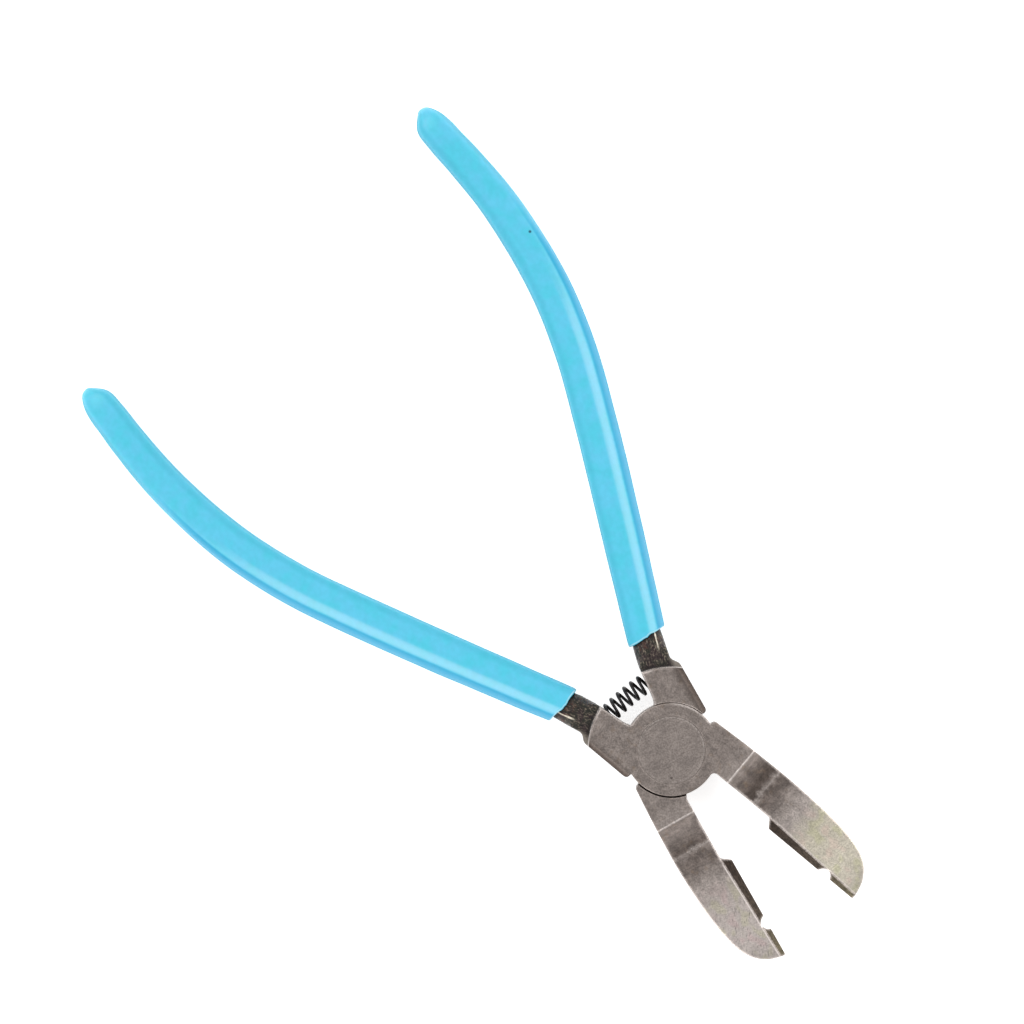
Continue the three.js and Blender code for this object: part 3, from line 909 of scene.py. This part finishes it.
def scale_color(s, seed, place, fine):
    """The black forged scale on the tang, with painted shade by the head and at the grip's mouth,
    and a painted highlight along its ridge.
    """
    x, y, z = s.parts(place)
    streak = s.grain(place, (2.2, 0.4, 0.5), -TANG_TURN, 4.0, seed + 17)
    color = s.mix(s.window(streak, 0.38, 0.68), tint(10, 8, 8), tint(62, 54, 50))
    cast = s.window(s.grain(place, 1.9, detail=3.0, seed=seed + 18), 0.4, 0.6)
    color = s.mix(0.4, color, s.mix(cast, tint(66, 48, 52), tint(54, 56, 46)))
    flecks = s.window(s.grain(place, (0.5, 0.3, 0.4), -TANG_TURN, 6.0, seed + 19), 0.48, 0.76)
    color = s.mix(s.product(flecks, 0.85), color, tint(142, 130, 114))
    dark = s.window(s.grain(place, (1.1, 0.6, 0.6), -TANG_TURN, 5.0, seed + 24), 0.5, 0.3)
    color = s.mix(s.product(dark, 0.7), color, tint(12, 9, 10))
    rust = s.window(s.grain(place, (1.2, 0.9, 0.9), detail=3.0, seed=seed + 25), 0.5, 0.62)
    rust = s.product(rust, s.window(x, -20.2, -21.6), 0.35)
    color = s.mix(rust, color, tint(104, 62, 50))
    # painted shade on the tang next to the step down from the head
    step_shade = s.window(s.distance(x, y), HEAD_BACK_RADIUS + 0.9, HEAD_BACK_RADIUS + 0.25)
    color = s.mix(s.product(step_shade, 0.75), color, tint(18, 14, 13))
    corner = s.product(s.window(y, -8.4, -9.6), s.window(x, -18.0, -16.5))
    color = s.mix(s.product(corner, 0.9), color, tint(116, 108, 100))
    # painted shadow on the tang just in front of the grip's mouth
    mouth_shadow = s.window(x, GRIP_FRONT_X + 0.9, GRIP_FRONT_X + 0.2)
    color = s.mix(s.product(mouth_shadow, 0.8), color, tint(14, 13, 14))

    # a painted highlight: a thin bright line along the ridge between the flat and the outer facet
    off_x, off_y = s.math("SUBTRACT", x, TANG_PLACE[0]), s.math("SUBTRACT", y, TANG_PLACE[1])
    aside = s.math(
        "SUBTRACT", s.product(off_x, math.sin(TANG_TURN)), s.product(off_y, math.cos(TANG_TURN))
    )
    aside = s.math("ADD", aside, s.window(streak, 0.3, 0.7, -0.06, 0.06))
    from_ridge = s.math("SUBTRACT", aside, TANG_RIDGE)
    ridge = s.band(from_ridge, -0.2, -0.07, 0.07, 0.2)
    ridge = s.product(ridge, s.window(x, -19.0, -20.5), s.window(z, 7.0, 7.5))
    ridge = s.product(ridge, s.window(fine, 0.3, 0.55, 0.5, 1.0))
    return s.mix(ridge, color, tint(226, 216, 198))


def edge_highlights_and_wear(s, side, place, radius, forged, fine):
    """Where thin light lines are painted: highlights along the arc behind the shoulder and where the
    disc laps over the other half's shoulder, and highlights with some edge wear on the inner edges
    of the jaw and the shoulder."""
    x, y, z = s.parts(place)
    edge_wear_and_light = s.attribute("edge_wear_and_light")
    behind = s.math("SUBTRACT", radius, HEAD_BACK_RADIUS)
    arc = s.product(s.band(behind, -0.25, -0.12, -0.04, 0.06), s.window(x, 0.0, -2.0), 0.75)
    jaw = s.product(edge_wear_and_light, s.window(x, 14.5, 16.0), s.window(y, 4.0, 3.0, 0.4, 0.85))
    shoulder = s.product(edge_wear_and_light, s.window(y, -5.2, -4.0), s.window(x, -9.0, -10.5), 0.6)
    shoulder = s.product(shoulder, s.window(forged, 1.0, 0.0))
    turn = side * LAP_LINE_TURN - OPEN_HALF_ANGLE
    toward_lap = s.math("ADD", s.product(x, math.cos(turn)), s.product(y, math.sin(turn)))
    rim_edges = (9.25, 9.45, 9.75, 9.85) if side > 0 else (9.8, 9.88, 9.95, 10.1)
    rim = s.band(radius, *rim_edges)
    lap = s.product(rim, s.window(toward_lap, 8.1, 9.1), s.window(z, 9.0, 9.6), 0.55)
    lines = arc
    for line in (jaw, shoulder, lap):
        lines = s.math("MAXIMUM", lines, line)
    return s.product(lines, s.window(fine, 0.35, 0.6, 0.5, 1.0))


def steel_material(name, half):
    side, seed = half["side"], half["seed"]
    s = Shader(name)
    place = s.place(side, -OPEN_HALF_ANGLE)
    x, y, _ = s.parts(place)
    radius = s.distance(x, y)
    coarse = s.grain(place, 2.4, seed=seed)
    fine = s.grain(place, 0.32, detail=4.0, seed=seed + 3)
    forged = s.window(radius, HEAD_BACK_RADIUS - 0.05, HEAD_BACK_RADIUS + 0.1)
    forged = s.product(forged, s.window(x, 0.0, -2.0))
    ground, on_bevel = ground_color(s, side, seed, place, coarse, fine)
    color = s.mix(forged, ground, scale_color(s, seed, place, fine))
    # painted highlights along the edges, with some edge wear
    lines = edge_highlights_and_wear(s, side, place, radius, forged, fine)
    color = s.mix(lines, color, warm(LINE_TONE, STEEL_GAIN))
    rough = s.math("MAXIMUM", s.window(fine, 0.3, 0.7, 0.36, 0.52), s.product(on_bevel, 0.85))
    s.set(
        Base_Color=color,
        Metallic=s.window(forged, 0.0, 1.0, 0.9, 0.45),
        Roughness=rough,
        Normal=s.bump(s.math("ADD", fine, s.product(coarse, 1.5)), 0.00003),
    )
    return s.material


def rivet_material():
    s = Shader("rivet_steel")
    place = s.place()
    x, y, _ = s.parts(place)
    radius = s.distance(x, y)
    coarse = s.grain(place, 2.2, seed=5)
    fine = s.grain(place, 0.3, detail=4.0, seed=9)
    strokes = s.grain(place, (3.2, 0.4, 1.0), math.radians(-76), 3.0, 13)
    color = s.shade(warm(126, STEEL_GAIN), s.window(coarse, 0.3, 0.7, 0.9, 1.1))
    color = s.shade(color, s.window(fine, 0.25, 0.75, 0.8, 1.22))
    color = s.shade(color, s.window(strokes, 0.3, 0.7, 0.9, 1.1))
    pit = s.window(s.distance(x, y, *RIVET_PIT), 0.5, 0.15, 0.0, 0.6)
    color = s.mix(pit, color, tint(50, 44, 40))

    # a light ring just inside the head's edge, stronger towards one side, and a darker ring at the
    # edge
    to_seam_side = s.math("ADD", s.product(x, -0.6), s.product(y, 0.8))
    seam_share = s.window(to_seam_side, -5.0, 5.0, 0.1, 0.6)
    bright = s.band(radius, 6.62, 6.75, 6.82, 6.95)
    bright = s.product(bright, seam_share, s.window(fine, 0.3, 0.6))
    color = s.mix(bright, color, warm(168, STEEL_GAIN))
    dark = s.product(s.band(radius, 6.9, 7.0, 7.3, 7.4), 0.25)
    color = s.mix(dark, color, tint(80, 72, 66))
    s.set(
        Base_Color=color,
        Metallic=0.9,
        Roughness=s.window(fine, 0.3, 0.7, 0.36, 0.48),
        Normal=s.bump(s.math("ADD", fine, strokes), 0.00002),
    )
    return s.material


def spring_material():
    s = Shader("spring_steel")
    place = s.place()
    fine = s.grain(place, 0.25, detail=3.0)
    color = s.mix(s.window(fine, 0.35, 0.7), tint(16, 15, 17), tint(46, 43, 44))
    s.set(
        Base_Color=color,
        Metallic=0.5,
        Roughness=s.window(fine, 0.3, 0.7, 0.3, 0.45),
        Normal=s.bump(fine, 0.00001),
    )
    return s.material


PVC_GAIN = 0.85  # the strip lamps lighten the grips, so their colours are lowered
PVC_IOR = 1.5


def pvc_material(name, seed, speck):
    """Dipped PVC. across is -1 to 1 over the section, along is the station, and inset is from the
    mouth in millimetres."""
    s = Shader(name)
    place = s.place()
    across, along, inset = (s.attribute(key) for key in ("across", "along", "inset"))
    cloud = s.grain(place, 3.5, detail=2.0, seed=seed)
    mottle = s.grain(place, 1.1, detail=2.0, seed=seed + 5)
    light, dark = tint(96, 207, 242, PVC_GAIN), tint(80, 208, 234, PVC_GAIN)
    color = s.mix(s.window(cloud, 0.3, 0.7), dark, light)
    # painted shade on the outer facet and the inner side, and painted highlights on the ridge and
    # the lip
    facet_shade = s.product(s.window(across, 0.56, 0.68), s.window(along, 0.85, 0.68))
    inner = s.window(across, -0.5, -0.78, 0.0, 0.5)
    ridge = s.product(s.band(across, 0.1, 0.28, 0.5, 0.62), s.window(along, 0.72, 0.55), 0.25)
    lip_highlight = s.product(s.band(inset, 0.04, 0.12, 0.2, 0.42), 0.5)
    # painted shade on the grip's edges, and towards the end on its outer side
    sides = s.window(s.math("ABSOLUTE", across), 0.9, 0.98, 0.0, 0.7)
    end_side_shade = s.product(s.window(across, 0.66, 0.9), s.window(along, 0.72, 0.86), 0.55)
    sides = s.math("MAXIMUM", sides, end_side_shade)
    for share, tone in (
        (facet_shade, (20, 172, 216)),
        (inner, (64, 188, 216)),
        (ridge, (176, 230, 250)),
        (lip_highlight, (206, 242, 252)),
        (sides, (48, 158, 190)),
    ):
        color = s.mix(share, color, tint(*tone, PVC_GAIN))
    color = s.shade(color, s.window(mottle, 0.3, 0.7, 0.975, 1.025))
    if speck:
        x, y, z = s.parts(place)
        dot = s.window(s.distance(x, y, *speck), 0.42, 0.15)
        dot = s.product(dot, s.window(z, MID_Z, MID_Z + 1), 0.9)
        color = s.mix(dot, color, tint(8, 60, 80))
    gloss = s.math("ADD", s.window(mottle, 0.3, 0.7, 0.28, 0.34), s.product(sides, 0.4))
    s.set(Base_Color=color, Roughness=gloss)
    s.surface.inputs["IOR"].default_value = PVC_IOR
    return s.material


FLOOR_GLOW = 0.65  # the pliers lie on a light table, which leaves hardly any shadow
WHITE = (1.0, 1.0, 1.0, 1.0)


def floor_material():
    s = Shader("studio_floor")
    soft = s.grain(s.place(), 40.0, detail=2.0)
    s.set(Base_Color=s.mix(soft, (0.9, 0.9, 0.9, 1), (0.93, 0.93, 0.93, 1)), Roughness=0.9)
    s.surface.inputs["Specular IOR Level"].default_value = 0.0
    s.surface.inputs["Emission Color"].default_value = WHITE
    s.surface.inputs["Emission Strength"].default_value = FLOOR_GLOW
    return s.material


# ---- studio ----
AIM = Vector((-59.25, 6.33, 6.0)) * MM  # the middle of the view
CAMERA_HEIGHT = 2.0  # above the aim
CAMERA_TURN = math.radians(50.11)
VIEW_WIDTH = 0.21333  # across the picture, at the height of the aim
SENSOR_WIDTH = 36.0
FLOOR_HALF_SIZE = 4.0
FLOOR_Z = -0.00005  # a hair under the pliers

# Each lamp's azimuth and elevation in degrees, distance, width, height and radiance. The two strips
# stand square to the straight part of each grip.
LAMPS = {
    "strip_left": (-63.3, 36, 0.8, 0.26, 0.46, 4.0),
    "strip_right": (63.3, 36, 0.8, 0.26, 0.46, 4.0),
    "key": (180, 48, 1.2, 0.9, 0.7, 1.6),
}

# The white studio's strength, from one value of a direction's part to another: it has a darker
# ceiling, and a darker side towards the jaws.
WORLD_SHADES = {
    "Z": {"From Min": 0.1, "From Max": 0.95, "To Min": 1.15, "To Max": 0.62},
    "X": {"From Min": -1.0, "From Max": 1.0, "To Min": 1.15, "To Max": 0.75},
}


def make_camera():
    data = bpy.data.cameras.new("camera")
    data.sensor_width = SENSOR_WIDTH
    data.lens = SENSOR_WIDTH * CAMERA_HEIGHT / VIEW_WIDTH
    camera = bpy.data.objects.new("camera", data)
    camera.location = AIM + Vector((0, 0, CAMERA_HEIGHT))
    camera.rotation_euler = (0, 0, CAMERA_TURN)
    bpy.context.scene.collection.objects.link(camera)
    bpy.context.scene.camera = camera


def make_floor():
    half = FLOOR_HALF_SIZE
    corners = [(-half, -half, 0), (half, -half, 0), (half, half, 0), (-half, half, 0)]
    mesh = bpy.data.meshes.new("floor")
    mesh.from_pydata(corners, [], [(0, 1, 2, 3)])
    floor = add_object("floor", mesh)
    floor.location.z = FLOOR_Z
    floor.data.materials.append(floor_material())


def make_lamp(name, azimuth, elevation, distance, width, height, radiance):
    """A rectangular lamp round the aim. Azimuth is from +X towards +Y."""
    a, e = math.radians(azimuth), math.radians(elevation)
    away = Vector((math.cos(a) * math.cos(e), math.sin(a) * math.cos(e), math.sin(e)))
    data = bpy.data.lights.new(name, "AREA")
    data.shape = "RECTANGLE"
    data.size, data.size_y = width, height
    data.energy = radiance * math.pi * width * height
    lamp = bpy.data.objects.new(name, data)
    lamp.location = AIM + away * distance
    lamp.rotation_euler = away.to_track_quat("Z", "Y").to_euler()
    bpy.context.scene.collection.objects.link(lamp)


def make_world():
    world = bpy.data.worlds.new("studio")
    bpy.context.scene.world = world
    world.use_nodes = True
    tree = world.node_tree
    background = tree.nodes["Background"]
    background.inputs["Color"].default_value = WHITE
    split = tree.nodes.new("ShaderNodeSeparateXYZ")
    tree.links.new(tree.nodes.new("ShaderNodeTexCoord").outputs["Generated"], split.inputs[0])
    product = tree.nodes.new("ShaderNodeMath")
    product.operation = "MULTIPLY"
    for slot, (part, ends) in enumerate(WORLD_SHADES.items()):
        shade = tree.nodes.new("ShaderNodeMapRange")
        for key, value in ends.items():
            shade.inputs[key].default_value = value
        tree.links.new(split.outputs[part], shade.inputs["Value"])
        tree.links.new(shade.outputs["Result"], product.inputs[slot])
    tree.links.new(product.outputs[0], background.inputs["Strength"])


# ---- everything ----
bpy.context.scene.view_settings.view_transform = "Standard"
make_camera()
make_floor()
for lamp_name, settings in LAMPS.items():
    make_lamp(lamp_name, *settings)
make_world()
for one in HALVES:
    make_arm(one)
    make_grip(one)
make_rivet()
make_spring()
